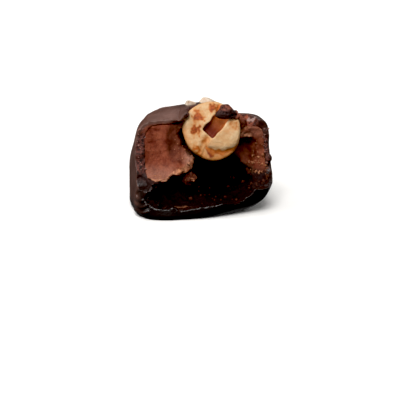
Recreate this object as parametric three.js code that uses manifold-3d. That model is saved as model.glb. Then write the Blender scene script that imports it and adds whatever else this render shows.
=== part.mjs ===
// A hazelnut praline with a bite out of its front: a domed block of soft praline with one roasted
// hazelnut under its crown, coated in dark chocolate, with two flakes of coarse salt behind the nut.
// Millimetres, +Z up. The bite faces -Y, and the origin is the middle of the base.

import * as THREE from "three";
import { ImprovedNoise } from "three/addons/math/ImprovedNoise.js";
import { mergeVertices } from "three/addons/utils/BufferGeometryUtils.js";
import Module from "manifold-3d";

const wasm = await Module();
wasm.setup();

// The whole sweet
const LENGTH = 32.2; // left to right
const DEPTH = 24; // front to back
const CROWN = 22.9; // top of the coating, before the swelling over the nut
const PLAN_POWER = 4.6; // squareness of the plan, where 2 is an ellipse
const PROFILE_POWER = { left: 4.4, leftFront: 9, right: 12 }; // squareness of the view from the front
const INNER_POWER = { left: 6.5, leftFront: 13, right: 12 }; // the same for the praline
const FOOT = { left: 1.2, right: 9 }; // rounding round the base
const LEAST_FOOT = 0.6;
const BEVEL = 0.35; // height of the straight bevel between the flat base and that rounding
const TAPER = { left: 0.06, leftFront: 0, right: 0.025 }; // share that each side leans in by
const TAPER_RISE = { from: 0.4, to: 0.75 }; // shares of the height between which it does so
const SAG = { front: 0.09, back: 0.045 }; // share of its height that the roof loses, right of the nut and behind
const SAG_X = { from: 1, to: 8 };
const SAG_Y = { from: 0, to: 9 };
const DIP = 0.055; // share of its height that the roof loses at the left front
const DIP_X = { from: -2, to: -8 };
const DIP_Y = { from: 2, to: -6 };
const SWELL = 1.5; // extra height of the coating over the nut
const SWELL_WIDTH = 6;
const SWELL_BEHIND = 1; // how far behind the nut's middle the swelling has its own
const TURN_TO_RIGHT = { from: -0.3, to: 0.9 }; // across the plan, from the left side's form to the right's
const TURN_TO_FRONT = { from: 0.4, to: -0.4 }; // towards the front, from the left side's form to the left front's

// The coating
const WALL = 1.5;
const LEFT_EXTRA = 0.8; // further thickness of the left wall
const ROOF = 1.3;
const FLOOR = 1.8;
const THICK_PATCH = { x: 9, width: 3.4, depth: 1.4 }; // extra thickness of the roof, right of the nut
const GAP = 0.3; // between neighbouring pieces

// The hazelnut
const NUT_CENTRE = new THREE.Vector3(1.6, -4, 18.7);
const NUT_RADIUS = 6.65;
const NUT_LEAN = 15; // degrees that the bitten face looks up
const NUT_TURN = 10; // degrees that it looks to the left
const NUT_FRONT = 2.9; // from the nut's middle to the bitten face
const HALF_STEP = 0.6; // how far the right half stands in front of the left one
const SPLIT_ANGLE = 0.735; // lean of the split between the two halves, from upright to the right
const SPLIT_OFFSET = 1.2; // of the split from the nut's middle, to the right
const LOBE = { x: 2.4, z: 0.8, radius: 5.5 }; // round outline of the right half's face
const TROUGH_OFFSET = -0.27; // of the hollow along the split from the nut's middle, to the right
const TROUGH_WIDTH = 3;
const TROUGH_RUN = { from: -1.1, to: 7.5 }; // along the split
const TROUGH_DEPTH = { from: 2.6, to: 1 }; // at those two ends

// The bite, as rounded scoops: middle, half sizes and squareness
const SCOOPS = {
  leftTooth: { middle: [-14.5, -13.5, 17.6], half: [8.2, 9, 9], power: 4.5 },
  secondTooth: { middle: [-5.6, -13.2, 17], half: [4.4, 8.9, 5.6], power: 3.5 },
  lip: { middle: [-4, -14.4, 11], half: [5.2, 6.8, 5], power: 2.6 },
  frontGap: { middle: [-8.2, -13.8, 6], half: [6.6, 4.1, 3.2], power: 4 },
  leftCorner: { middle: [-17, -12.5, 9.2], half: [3.7, 7, 2.6], power: 4 },
  undercut: { middle: [-6, -12.5, 5.3], half: [8.8, 6.8, 2.25], power: 2.5 },
  underLip: { middle: [-3, -10.2, 7], half: [4.6, 6.2, 3.8], power: 2.4 },
  hollow: { middle: [3.9, -7.4, 8.8], half: [7.2, 10.8, 5.8], power: 2.4 },
  nutSide: { middle: [8.4, -8, 13.4], half: [4.5, 9.4, 4.6], power: 2.6 },
  rightTooth: { middle: [13.6, -12.8, 15.4], half: [7, 10.4, 9.2], power: 3 },
  nutFront: { middle: [2, -12.4, 20.5], half: [8.4, 7.6, 9.5], power: 4.5 },
  crown: { middle: [2, -7.5, 27], half: [7, 8.1, 5.5], power: 2.6 },
  roofBreak: { middle: [8.8, -7, 26.6], half: [5.4, 13.5, 8.4], power: 2.1 },
};
const FILLING_SET_BACK = 0.2; // the praline breaks a little behind the coating's edge
const CRAG = 0.35; // height of the crags in the bitten face
const CRAG_LENGTH = 3.1;

// Salt flakes on the crown, and the crumbs of coating that stick to the nut
const FLAKES = [
  { place: [-2.1, 1.9, 24], size: [2.6, 1.6, 1.3], turn: 0.4, tip: 0.25 },
  { place: [1.8, 2, 24.3], size: [2.9, 1.8, 1.7], turn: -0.3, tip: 0.35 },
];
const FLAKE_SKEW = { y: 0.35, z: 0.2 }; // sideways lean of a flake's outline
const FLAKE_THINNING = 0.25; // share of its thickness that a flake loses at its ends
const CRUMBS = [
  { place: [4.45, -6.95, 23.9], radius: 1.7 },
  { place: [6.65, -6.3, 22.65], radius: 1.2 },
  { place: [7.9, -4.85, 22], radius: 1.3 },
  { place: [8.7, -3.2, 20.75], radius: 1.35 },
  { place: [9, -1.6, 19.6], radius: 1.5 },
];
const CRUMB_BUMP = 0.3; // share of its radius that a crumb is uneven by
const CRUMB_BUMPS = 2.1; // bumps in one radius

// How finely each form is divided, round it and up it
const OUTER_STEPS = { around: 56, upwards: 28 };
const INNER_STEPS = { around: 40, upwards: 20 };
const SCOOP_STEPS = { around: 28, upwards: 20 };
const NUT_STEPS = { around: 44, upwards: 30 };
const LOBE_STEPS = 40;
const SOCKET_STEPS = { around: 32, upwards: 22 };
const CRUMB_STEPS = { around: 12, upwards: 8 };
const BASE_STEPS = 2; // of the steps up a block, those that its base and its foot take
const FOOT_STEPS = 4;
const SEAM = 1e-9; // nearer than this to the middle, a point of a ball lies on its seam

const noise = new ImprovedNoise();
const mix = THREE.MathUtils.lerp;

// An even rise from 0 to 1 over a range, which may run downwards.
function rise(value, { from, to }) {
  return THREE.MathUtils.smoothstep((value - from) / (to - from), 0, 1);
}

// A side's value on the plan, between those of the left, the left front and the right.
function sideValue({ left, leftFront, right }, rightward, frontward) {
  return mix(mix(left, leftFront, frontward), right, rightward);
}

// A power that keeps its sign, for squared-off circles.
function signedPower(value, power) {
  return Math.sign(value) * Math.abs(value) ** power;
}

// Moves every vertex of a geometry by a rule that changes a point in place.
function reshape(geometry, rule) {
  const position = geometry.getAttribute("position");
  const point = new THREE.Vector3();
  for (let i = 0; i < position.count; i += 1) {
    point.fromBufferAttribute(position, i);
    rule(point);
    position.setXYZ(i, point.x, point.y, point.z);
  }
  return geometry;
}

// A closed geometry as a solid that can be joined and cut.
function toSolid(geometry) {
  geometry.deleteAttribute("normal");
  geometry.deleteAttribute("uv");
  const merged = mergeVertices(geometry, 1e-4);
  const corners = merged.index.array;
  const kept = [];
  for (let i = 0; i < corners.length; i += 3) {
    const [a, b, c] = corners.slice(i, i + 3);
    if (a !== b && b !== c && c !== a) {
      kept.push(a, b, c);
    }
  }
  const mesh = new wasm.Mesh({
    numProp: 3,
    vertProperties: new Float32Array(merged.getAttribute("position").array),
    triVerts: new Uint32Array(kept),
  });
  return new wasm.Manifold(mesh);
}

// The largest body of a solid as a geometry, without the scraps that a cut leaves.
function toGeometry(solid) {
  const bodies = solid.decompose();
  bodies.sort((one, other) => other.volume() - one.volume());
  const mesh = bodies[0].getMesh();
  const geometry = new THREE.BufferGeometry();
  geometry.setAttribute("position", new THREE.BufferAttribute(mesh.vertProperties, 3));
  geometry.setIndex(new THREE.BufferAttribute(mesh.triVerts, 1));
  geometry.computeVertexNormals();
  return geometry;
}

// A ball of radius 1 with its poles on the Z axis.
function ball({ around, upwards }) {
  return new THREE.SphereGeometry(1, around, upwards).rotateX(Math.PI / 2);
}

// The sweet's domed block, reduced by walls, a roof and a floor for what lies inside it.
function domedBlock({ wall, leftExtra, roof, floor, dent, powers, steps }) {
  const halfLength = (LENGTH - leftExtra) / 2 - wall;
  const halfDepth = DEPTH / 2 - wall;
  const height = CROWN - roof - floor;
  const baseShare = BASE_STEPS / steps.upwards;
  const footShare = FOOT_STEPS / steps.upwards;
  return reshape(ball(steps), (point) => {
    const way = 1 - Math.acos(THREE.MathUtils.clamp(point.z, -1, 1)) / Math.PI;
    const onSeam = Math.abs(point.y) < SEAM; // both edges of the ball's seam take the same place
    const angle = Math.atan2(onSeam ? 0 : point.y, point.x);
    const planX = signedPower(Math.cos(angle), 2 / PLAN_POWER);
    const planY = signedPower(Math.sin(angle), 2 / PLAN_POWER);
    const rightward = rise(planX, TURN_TO_RIGHT);
    const frontward = rise(planY, TURN_TO_FRONT);
    const power = sideValue(powers, rightward, frontward);
    const foot = Math.max(mix(FOOT.left, FOOT.right, rightward) - wall, LEAST_FOOT);
    const footStart = Math.asin((foot / height) ** (power / 2));
    const bevel = Math.acos(1 - BEVEL / foot);
    let spread = 1;
    let inset = 0;
    let z = 0;
    if (way <= baseShare) {
      spread = way / baseShare;
      inset = foot;
    } else if (way <= baseShare + footShare) {
      const step = ((way - baseShare) / footShare) * FOOT_STEPS; // the first one is the bevel
      const bend = step < 1 ? bevel * step : mix(bevel, Math.PI / 2, (step - 1) / (FOOT_STEPS - 1));
      inset = foot * (1 - Math.sin(bend));
      z = foot * (1 - Math.cos(bend));
    } else {
      const along = (way - baseShare - footShare) / (1 - baseShare - footShare);
      const climb = mix(footStart, Math.PI / 2, along);
      spread = Math.max(Math.cos(climb), 0) ** (2 / power);
      z = height * Math.sin(climb) ** (2 / power);
    }
    const fullReach = Math.hypot(halfLength * planX, halfDepth * planY);
    const scale = spread * (1 - inset / fullReach);
    const taper = sideValue(TAPER, rightward, frontward) * rise(z / height, TAPER_RISE);
    point.x = halfLength * planX * scale * (1 - taper) + leftExtra / 2;
    point.y = halfDepth * planY * scale;
    const dip = DIP * rise(point.x, DIP_X) * rise(point.y, DIP_Y);
    const sag = dip + rise(point.x, SAG_X) * (SAG.front + SAG.back * rise(point.y, SAG_Y));
    const fromNut = Math.hypot(point.x - NUT_CENTRE.x, point.y - NUT_CENTRE.y - SWELL_BEHIND);
    const swell = SWELL * Math.exp(-0.5 * (fromNut / SWELL_WIDTH) ** 2);
    const patch = dent * Math.exp(-0.5 * ((point.x - THICK_PATCH.x) / THICK_PATCH.width) ** 2);
    point.z = floor + z * (1 - sag) + (swell - patch) * (z / height) ** 4;
  });
}

// One scoop of the bite: a squared-off ellipsoid with crags, grown by a set-back.
function scoop({ middle, half, power }, setBack) {
  const shape = reshape(ball(SCOOP_STEPS), (point) => {
    const squared = Math.abs(point.x) ** power + Math.abs(point.y) ** power + Math.abs(point.z) ** power;
    point.multiplyScalar(squared ** (-1 / power));
    point.x = middle[0] + point.x * (half[0] + setBack);
    point.y = middle[1] + point.y * (half[1] + setBack);
    point.z = middle[2] + point.z * (half[2] + setBack);
    const crag = noise.noise(point.x / CRAG_LENGTH, point.y / CRAG_LENGTH, point.z / CRAG_LENGTH);
    point.y += CRAG * crag;
    point.z += CRAG * crag;
  });
  return toSolid(shape);
}

// The whole bite, as far back as a piece breaks.
function bite(setBack) {
  const scoops = Object.values(SCOOPS).map((size) => scoop(size, setBack));
  return scoops.reduce((whole, next) => whole.add(next));
}

// A ball with its poles at the front and back, cut off flat in front of its middle.
function cutBall(radius, front, { around, upwards }) {
  const whole = toSolid(new THREE.SphereGeometry(radius, around, upwards));
  return whole.trimByPlane([0, 1, 0], -front);
}

// Puts a solid made round the origin, with the nut's face square to the front, where the nut lies.
function whereNutLies(solid) {
  return solid.rotate([-NUT_LEAN, 0, -NUT_TURN]).translate(NUT_CENTRE.toArray());
}

// Room for the nut, with the gap round it.
function nutSocket() {
  return whereNutLies(cutBall(NUT_RADIUS + GAP, NUT_FRONT + HALF_STEP + GAP, SOCKET_STEPS));
}

// A salt flake: a small slab with a skewed outline.
function saltFlake({ place, size, turn, tip }) {
  const slab = new THREE.BoxGeometry(...size, 2, 1, 1);
  reshape(slab, (point) => {
    point.x += FLAKE_SKEW.y * point.y + FLAKE_SKEW.z * point.z;
    point.z *= 1 - FLAKE_THINNING * Math.abs(point.x / size[0]);
  });
  slab.rotateY(tip).rotateZ(turn).translate(...place);
  return toSolid(slab);
}

// A lumpy crumb of coating.
function crumb({ place, radius }) {
  const lump = reshape(ball(CRUMB_STEPS), (point) => {
    const at = point.clone().multiplyScalar(CRUMB_BUMPS);
    const bump = 1 + CRUMB_BUMP * noise.noise(at.x + place[0], at.y, at.z);
    point.multiplyScalar(radius * bump);
  });
  return toSolid(lump.translate(...place));
}

// The dark coating: the block's skin, broken at the front, with the flakes and crumbs on it.
function makeShell() {
  const outer = domedBlock({
    wall: 0,
    leftExtra: 0,
    roof: 0,
    floor: 0,
    dent: 0,
    powers: PROFILE_POWER,
    steps: OUTER_STEPS,
  });
  const inner = domedBlock({
    wall: WALL,
    leftExtra: LEFT_EXTRA,
    roof: ROOF,
    floor: FLOOR,
    dent: THICK_PATCH.depth,
    powers: INNER_POWER,
    steps: INNER_STEPS,
  });
  let shell = toSolid(outer).subtract(bite(0));
  for (const extra of [...FLAKES.map(saltFlake), ...CRUMBS.map(crumb)]) {
    shell = shell.add(extra);
  }
  return shell.subtract(toSolid(inner)).subtract(nutSocket());
}

// The praline: the block's inside, bitten, with a socket for the nut.
function makeFilling() {
  const block = domedBlock({
    wall: WALL + GAP,
    leftExtra: LEFT_EXTRA,
    roof: ROOF + GAP,
    floor: FLOOR + GAP,
    dent: THICK_PATCH.depth,
    powers: INNER_POWER,
    steps: INNER_STEPS,
  });
  return toSolid(block).subtract(bite(FILLING_SET_BACK)).subtract(nutSocket());
}

// The hollow between the nut's halves: a trough along the split, deepest at its lower end.
function nutTrough() {
  const length = TROUGH_RUN.to - TROUGH_RUN.from;
  const trough = reshape(new THREE.BoxGeometry(TROUGH_WIDTH, 1, length), (point) => {
    const depth = point.z < 0 ? TROUGH_DEPTH.from : TROUGH_DEPTH.to;
    point.y = point.y > 0 ? depth - NUT_FRONT : -NUT_RADIUS;
  });
  trough.translate(TROUGH_OFFSET, 0, (TROUGH_RUN.from + TROUGH_RUN.to) / 2);
  return toSolid(trough.rotateY(SPLIT_ANGLE));
}

// The hazelnut: a ball with a bitten face, the right half in front of the left, and the trough between.
function makeNut() {
  const across = [Math.cos(SPLIT_ANGLE), 0, -Math.sin(SPLIT_ANGLE)];
  const outline = new THREE.CylinderGeometry(LOBE.radius, LOBE.radius, NUT_RADIUS, LOBE_STEPS);
  outline.translate(LOBE.x, -NUT_RADIUS / 2, LOBE.z);
  const rightHalf = cutBall(NUT_RADIUS, NUT_FRONT + HALF_STEP, NUT_STEPS)
    .trimByPlane(across, SPLIT_OFFSET)
    .intersect(toSolid(outline));
  const kernel = cutBall(NUT_RADIUS, NUT_FRONT, NUT_STEPS).add(rightHalf);
  return whereNutLies(kernel.subtract(nutTrough()));
}

// A named mesh in its own material.
function piece(name, solid, color, roughness) {
  const material = new THREE.MeshStandardMaterial({ color, roughness, metalness: 0 });
  const mesh = new THREE.Mesh(toGeometry(solid), material);
  mesh.name = name;
  return mesh;
}

const praline = new THREE.Group();
praline.add(piece("chocolate_shell", makeShell(), 0x4a2f28, 0.4));
praline.add(piece("praline_filling", makeFilling(), 0x7f4029, 0.7));
praline.add(piece("hazelnut", makeNut(), 0xcd9f72, 0.55));

export default praline;
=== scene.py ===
"""Looks of a bitten hazelnut praline: a dark coating, a soft praline filling, one roasted hazelnut, salt.

Each piece is worked out as a depth below its surface on a box of points, in millimetres, from the same sizes
as the solids, with the crags, crumbs, bubbles and ridges of the real sweet added, and then given a skin. The
two numbers in smooth() are where a form or a colour starts and where it is complete.
"""

import math

import bmesh
import bpy
import numpy as np
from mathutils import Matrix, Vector


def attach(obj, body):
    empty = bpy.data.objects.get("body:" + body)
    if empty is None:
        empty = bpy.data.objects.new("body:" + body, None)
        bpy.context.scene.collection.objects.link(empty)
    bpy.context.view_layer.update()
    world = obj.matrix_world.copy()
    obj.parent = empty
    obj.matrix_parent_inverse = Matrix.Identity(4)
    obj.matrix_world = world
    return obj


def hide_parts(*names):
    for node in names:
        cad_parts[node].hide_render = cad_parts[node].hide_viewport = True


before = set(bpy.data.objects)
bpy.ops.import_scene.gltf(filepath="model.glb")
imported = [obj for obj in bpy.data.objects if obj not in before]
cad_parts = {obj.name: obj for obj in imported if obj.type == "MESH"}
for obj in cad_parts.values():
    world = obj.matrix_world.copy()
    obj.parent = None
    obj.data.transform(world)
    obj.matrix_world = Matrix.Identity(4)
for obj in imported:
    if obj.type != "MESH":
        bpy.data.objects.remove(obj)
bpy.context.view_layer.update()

MM = 0.001

# The whole sweet, as in the solids; pairs are left and right, threes are left, left front and right
LENGTH = 32.2
DEPTH = 24.0
CROWN = 22.9
# Squareness, where 2 is an ellipse's: of the plan, and of the coating and the praline from the front
PLAN_POWER = 4.6
OUTER_POWERS = (4.4, 9.0, 12.0)
INNER_POWERS = (6.5, 13.0, 12.0)
# Rounding round the base
FOOT = (1.2, 9.0)
LEAST_FOOT = 0.6
# Share that each side leans in by, and the shares of the height between which it does so
TAPER = (0.06, 0.0, 0.025)
TAPER_RISE = (0.4, 0.75)
# Share of its height that the roof loses right of the nut, more of it behind, and from where to where
SAG_FRONT = 0.09
SAG_BACK = 0.045
SAG_RIGHTWARDS = (1, 8)
SAG_BACKWARDS = (0, 9)
# The same at the left front
DIP = 0.055
DIP_LEFTWARDS = (2, 8)
DIP_FRONTWARDS = (-2, 6)
# Extra height over the nut
SWELL = 1.5
SWELL_WIDTH = 6.0
SWELL_BEHIND = 1
# Shares of the way across, where the left side's form turns into the right's and the left front's
TURN_TO_RIGHT = (-0.3, 0.9)
TURN_TO_FRONT = (-0.4, 0.4)

# The coating's thickness, as in the solids, with a thicker patch of roof right of the nut
WALL = 1.5
LEFT_EXTRA = 0.8
ROOF = 1.3
FLOOR = 1.8
PATCH_AT = 9.0
PATCH_WIDTH = 3.4
PATCH = 1.4

# The hazelnut, as in the solids: its face looks up and to the left, and its right half stands forward
NUT = np.array((1.6, -4.0, 18.7))
NUT_RADIUS = 6.65
NUT_LEAN = math.radians(15)
NUT_TURN = math.radians(10)
NUT_FRONT = 2.9
HALF_STEP = 0.6
SPLIT_ANGLE = 0.735
LOBE_X = 2.4
LOBE_Z = 0.8
# The hollow along the split between the halves
TROUGH_AT = -0.27
TROUGH_HALF = 1.5
TROUGH_START = -1.1
TROUGH_END = 7.5
TROUGH_DEPTHS = (2.6, 1.0)

# Salt flakes on the crown, as in the solids: place, size, turn, tip
FLAKES = (
    ((-2.1, 1.9, 24.0), (2.6, 1.6, 1.3), 0.4, 0.25),
    ((1.8, 2.0, 24.3), (2.9, 1.8, 1.7), -0.3, 0.35),
)
FLAKE_SKEW = (0.35, 0.2)
FLAKE_THINNING = 0.25

# The bite, as in the solids: middle, half sizes, squareness; then how crumbly the praline is and how much
# shade is painted on it
SCOOPS = {
    "left tooth": ((-14.5, -13.5, 17.6), (8.2, 9.0, 9.0), 4.5, 0.1, 0.0),
    "second tooth": ((-5.6, -13.2, 17.0), (4.4, 8.9, 5.6), 3.5, 0.2, 0.4),
    "lip": ((-4.0, -14.4, 11.0), (5.2, 6.8, 5.0), 2.6, 0.4, 0.0),
    "front gap": ((-8.2, -13.8, 6.0), (6.6, 4.1, 3.2), 4.0, 0.8, 0.1),
    "left corner": ((-17.0, -12.5, 9.2), (3.7, 7.0, 2.6), 4.0, 0.5, 0.0),
    "undercut": ((-6.0, -12.5, 5.3), (8.8, 6.8, 2.25), 2.5, 0.85, 1.0),
    "under lip": ((-3.0, -10.2, 7.0), (4.6, 6.2, 3.8), 2.4, 0.9, 1.0),
    "hollow": ((3.9, -7.4, 8.8), (7.2, 10.8, 5.8), 2.4, 0.8, 1.0),
    "nut side": ((8.4, -8.0, 13.4), (4.5, 9.4, 4.6), 2.6, 0.15, 0.35),
    "right tooth": ((13.6, -12.8, 15.4), (7.0, 10.4, 9.2), 3.0, 0.22, 0.12),
    "nut front": ((2.0, -12.4, 20.5), (8.4, 7.6, 9.5), 4.5, 0.7, 0.2),
    "crown": ((2.0, -7.5, 27.0), (7.0, 8.1, 5.5), 2.6, 0.6, 0.2),
    "roof break": ((8.8, -7.0, 26.6), (5.4, 13.5, 8.4), 2.1, 0.6, 0.0),
}
FILLING_SET_BACK = 0.2

# Random lumps: the box they are drawn in, the spread of their heights before smoothing, the most after
LUMP_BOX = np.array(((-19.0, -15.0, -3.0), (19.0, 15.0, 29.0)))
LUMP_SPREAD = 3
LUMP_LIMIT = 2.5
# Roughness of the bitten faces, and of the broken coating's lumps: height, length, seed
CRAG_LENGTH = 3.1
BITE_ROUGHNESS = ((0.13, 1.15, 12), (0.12, 0.6, 13))
POROUS = ((0.16, 0.9, 31), (0.14, 0.5, 32))

# A depth that counts as far outside, and how far round a pit its edge is worked out
FAR_OFF = 9.0
PIT_MARGIN = 0.6

# The side the bite is faced from: a little from the left and from above
TURN = math.radians(-10)
RISE = math.radians(15)
FORWARDS = np.array((math.sin(TURN) * math.cos(RISE), -math.cos(TURN) * math.cos(RISE), math.sin(RISE)))
RIGHTWARDS = np.array((math.cos(TURN), math.sin(TURN), 0.0))
UPWARDS = np.cross(FORWARDS, RIGHTWARDS)
# The steps at which a line of sight is followed through the sweet
SIGHT = np.arange(-20, 30, 0.05)[:, None]

# The corners of a cell in a box of points
CORNERS = [(i, j, k) for i in (0, 1) for j in (0, 1) for k in (0, 1)]


def smooth(value, low, high):
    """0 at low, 1 at high and beyond, and an even rise between them."""
    share = np.clip((value - low) / (high - low), 0, 1)
    return share * share * (3 - 2 * share)


def mix(low, high, share):
    return low + (high - low) * share


def bell(off, width):
    """1 in the middle, falling away on both sides."""
    return np.exp(-((off / width) ** 2))


def far_from(points, place):
    """The distance of loose points from one place."""
    return np.linalg.norm(points - place, axis=1)


class Space:
    """A box of points in millimetres, closely set at the front, and their places right and up in the view."""

    def __init__(self, low, high, step, back_from, back_step):
        axes = [np.arange(low[i], high[i] + step, step) for i in range(3)]
        front = np.arange(low[1], back_from, step)
        axes[1] = np.concatenate((front, np.arange(front[-1] + back_step, high[1] + back_step, back_step)))
        self.axes = [axis.astype(np.float32) for axis in axes]
        self.x = self.axes[0][:, None, None]
        self.y = self.axes[1][None, :, None]
        self.z = self.axes[2][None, None, :]
        self.places = (self.x, self.y, self.z)
        self.right = self.x * RIGHTWARDS[0] + self.y * RIGHTWARDS[1]
        self.up = self.x * UPWARDS[0] + self.y * UPWARDS[1] + self.z * UPWARDS[2]

    def lumps(self, length, seed):
        """Smooth random lumps of one length, about -1 to 1 high and the same in every box of points."""
        draw = np.random.default_rng(seed)
        lengths = np.broadcast_to(length, 3)
        counts = np.ceil((LUMP_BOX[1] - LUMP_BOX[0]) / lengths).astype(int) + 4
        heights = draw.normal(0, LUMP_SPREAD, counts).astype(np.float32)
        weights = []
        for axis, start, count, step in zip(self.axes, LUMP_BOX[0], counts, lengths):
            place = (axis - start) / step
            first = np.floor(place).astype(int)
            f = place - first
            table = np.zeros((len(axis), count), np.float32)
            rows = np.arange(len(axis))
            # The four weights of a cubic spline
            parts = ((1 - f) ** 3, 3 * f**3 - 6 * f**2 + 4, -3 * f**3 + 3 * f**2 + 3 * f + 1, f**3)
            for k, part in enumerate(parts):
                table[rows, first + k] = part / 6
            weights.append(table)
        field = (weights[0] @ heights.reshape(counts[0], -1)).reshape(-1, counts[1], counts[2])
        field = np.matmul(weights[1], field)
        return np.clip(field @ weights[2].T, -LUMP_LIMIT, LUMP_LIMIT)

    def roughness(self, layers):
        """Lumps laid on one another, each with a height, a length and a seed."""
        return sum(height * self.lumps(length, seed) for height, length, seed in layers)

    def even(self, field):
        """The field divided by its slope, so that it counts millimetres near its surface."""
        slopes = np.gradient(field, *self.axes)
        return field / np.maximum(np.sqrt(sum(slope**2 for slope in slopes)), 0.05)

    def far(self, place):
        """The distance of every point from one place."""
        return np.sqrt(sum((p - c) ** 2 for p, c in zip(self.places, place)))

    def along(self, middle, direction):
        """How far every point lies from a middle in one direction."""
        return sum((p - c) * d for p, c, d in zip(self.places, middle, direction))

    def sample(self, field, points):
        """The field's values at loose points."""
        corner, share = [], []
        for axis, value in zip(self.axes, points.T):
            index = np.clip(np.searchsorted(axis, value) - 1, 0, len(axis) - 2)
            corner.append(index)
            share.append(np.clip((value - axis[index]) / (axis[index + 1] - axis[index]), 0, 1))
        total = np.zeros(len(points))
        for bits in CORNERS:
            weight = np.ones(len(points))
            for bit, part in zip(bits, share):
                weight = weight * (part if bit else 1 - part)
            total += weight * field[tuple(first + bit for first, bit in zip(corner, bits))]
        return total

    def front(self, field, right, up):
        """The first point of a solid behind a place to the right and up, as the bite is faced."""
        line = right * RIGHTWARDS + up * UPWARDS - SIGHT * FORWARDS
        return line[(self.sample(field, line) < 0).argmax()]

    def pit(self, field, place, radius):
        """Takes a small round pit out of a solid."""
        reach = radius + PIT_MARGIN
        ends = [np.searchsorted(axis, (c - reach, c + reach)) for axis, c in zip(self.axes, place)]
        part = tuple(slice(*pair) for pair in ends)
        x, y, z = (axis[s] for axis, s in zip(self.axes, part))
        far = np.sqrt((x[:, None, None] - place[0]) ** 2 + (y[:, None] - place[1]) ** 2 + (z - place[2]) ** 2)
        field[part] = np.maximum(field[part], radius - far)


def rounded_overlap(one, other, radius):
    """The overlap of two solids' depths with the edge between them rounded off."""
    a = one + radius
    b = other + radius
    outside = np.sqrt(np.maximum(a, 0) ** 2 + np.maximum(b, 0) ** 2)
    return np.minimum(np.maximum(a, b), 0) + outside - radius


def soft_union(one, other, width):
    """Two solids' depths joined with a soft fillet."""
    near = np.maximum(width - np.abs(one - other), 0) / width
    return np.minimum(one, other) - near**2 * width / 4


def with_balls(space, field, balls, width, *roughs):
    """A solid's depth with rough balls joined to it by soft fillets."""
    for place, radius in balls:
        ball = space.far(place) - radius
        for rough in roughs:
            ball = ball + rough
        field = soft_union(field, ball, width)
    return field


def side_value(values, rightward, frontward):
    """A value on the plan, between those of the left, the left front and the right."""
    left, left_front, right = values
    return mix(mix(left, left_front, frontward), right, rightward)


def block(space, wall, left_extra, roof, floor, dent, powers):
    """The sweet's domed block less walls, a roof and a floor, and each point's share of the way out."""
    half_length = (LENGTH - left_extra) / 2 - wall
    half_depth = DEPTH / 2 - wall
    height = CROWN - roof - floor
    x, y, z = space.places
    sag = smooth(x, *SAG_RIGHTWARDS) * (SAG_FRONT + SAG_BACK * smooth(y, *SAG_BACKWARDS))
    sag = sag + DIP * smooth(-x, *DIP_LEFTWARDS) * smooth(-y, *DIP_FRONTWARDS)
    swell = SWELL * np.exp(-0.5 * (np.hypot(x - NUT[0], y - NUT[1] - SWELL_BEHIND) / SWELL_WIDTH) ** 2)
    patch = dent * np.exp(-0.5 * ((x - PATCH_AT) / PATCH_WIDTH) ** 2)
    rise = (z - floor) / (1 - sag)
    # The swelling grows with the rise that it changes, so both are worked out in rounds
    for _ in range(4):
        rise = (z - floor - (swell - patch) * np.clip(rise / height, 0, 1.1) ** 4) / (1 - sag)
    rise = np.maximum(rise, 0) / height
    flat_x = x - left_extra / 2
    for _ in range(3):
        out = np.abs(flat_x / half_length) ** PLAN_POWER + np.abs(y / half_depth) ** PLAN_POWER
        out = np.maximum(out ** (1 / PLAN_POWER), 1e-3)
        rightward = smooth(flat_x / (half_length * out), *TURN_TO_RIGHT)
        frontward = smooth(-y / (half_depth * out), *TURN_TO_FRONT)
        taper = side_value(TAPER, rightward, frontward) * smooth(rise, *TAPER_RISE)
        flat_x = (x - left_extra / 2) / (1 - taper)
    power = side_value(powers, rightward, frontward)
    foot = np.maximum(mix(*FOOT, rightward) - wall, LEAST_FOOT)
    reach = np.maximum(np.hypot(flat_x, y) / out, half_depth * 0.8)
    side = ((out**power + rise**power) ** (1 / power) - 1) * reach
    return space.even(rounded_overlap(side, floor - z, foot)), out


def scoop(space, middle, half, power):
    """The depth inside one rounded scoop."""
    total, slope = 0, 0
    for place, centre, size in zip(space.places, middle, half):
        share = np.abs(place - centre) / size
        total = total + share**power
        slope = slope + (share ** (power - 1) / size) ** 2
    total = np.maximum(total, 1e-4)
    return (total ** (1 / power) - 1) * total ** (1 - 1 / power) / np.sqrt(slope + 1e-9)


def bite(space, grow, ruggedness, least=0.0):
    """The depth inside the whole bite, how crumbly the break is, and how much shade is painted on it at each
    point.
    """
    crag = space.lumps(CRAG_LENGTH, seed=11)
    rough = space.roughness(BITE_ROUGHNESS)
    near = np.full(crag.shape, FAR_OFF, np.float32)
    crumbly = np.zeros(crag.shape, np.float32)
    painted_shade = np.zeros(crag.shape, np.float32)
    for middle, half, power, loose, shade_share in SCOOPS.values():
        loose = max(loose, least)
        depth = scoop(space, middle, half, power) - grow
        depth = depth - (0.05 + 0.1 * loose) * crag - ruggedness * mix(0.1, 1.0, loose) * rough
        share = smooth(near - depth, -0.5, 0.5)
        crumbly = mix(crumbly, loose, share)
        painted_shade = mix(painted_shade, shade_share, share)
        near = soft_union(near, depth, mix(1.2, 0.3, loose))
    return near, crumbly, painted_shade


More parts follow.
